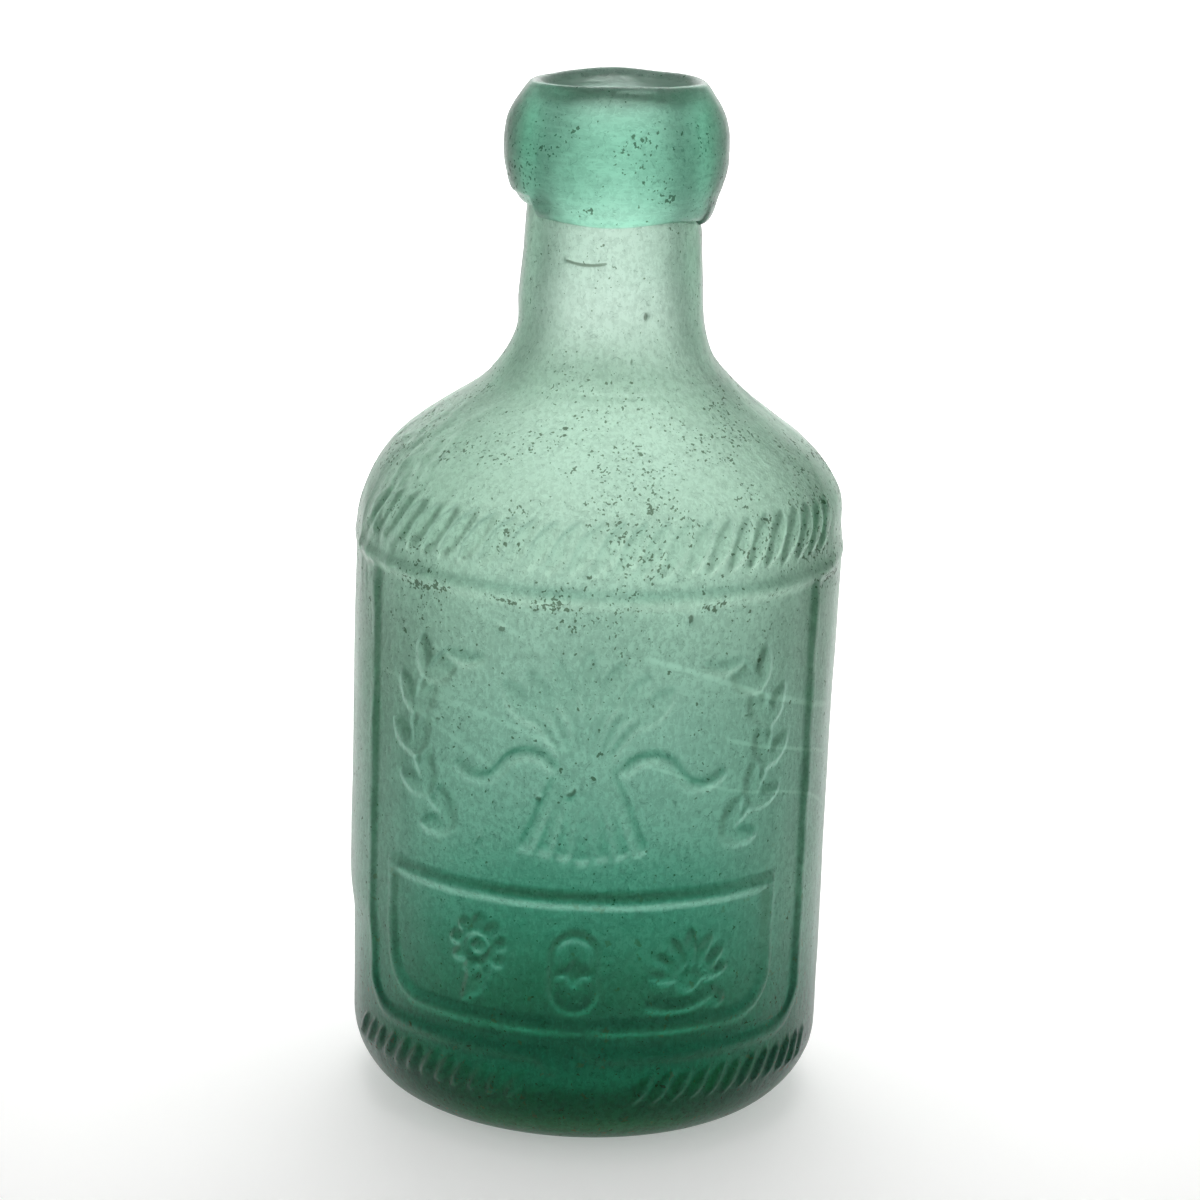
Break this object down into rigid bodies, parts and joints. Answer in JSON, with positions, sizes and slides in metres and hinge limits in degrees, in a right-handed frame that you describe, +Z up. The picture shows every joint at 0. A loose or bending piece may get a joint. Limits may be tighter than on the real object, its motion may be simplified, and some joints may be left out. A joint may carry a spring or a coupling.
{
  "type": "glass bottle",
  "caption": "Squat mould-blown bottle with a domed bottom, a raised ornament panel and a ball-shaped applied lip round a cork bore; stands on its base ring and holds liquid.",
  "frame": {"origin": "centre of the circle that the bottle stands on", "axes": "+Z up along the bottle's axis of turning, front panel faces -Y, +X to the right seen from the front"},
  "size_m": [0.0814, 0.0814, 0.17],
  "materials": {
    "body_glass": "blue-green bottle glass, lightly etched and scratched",
    "lip_glass": "blue-green bottle glass, fire polished, pitted",
    "relief_glass": "blue-green bottle glass, soft moulded edges"
  },
  "bodies": {
    "root": {"vessel": "body_glass", "applied_lip": "lip_glass", "relief_shoulder_ring": "relief_glass", "relief_shoulder_band": "relief_glass", "relief_panel_frame": "relief_glass", "relief_cartouche_frame": "relief_glass", "relief_flower": "relief_glass", "relief_medallion": "relief_glass", "relief_palmette": "relief_glass", "relief_sheaf": "relief_glass", "relief_sprays": "relief_glass", "relief_ribbon": "relief_glass", "relief_heel_band": "relief_glass", "mould_seams": "relief_glass"}
  },
  "joints": []
}
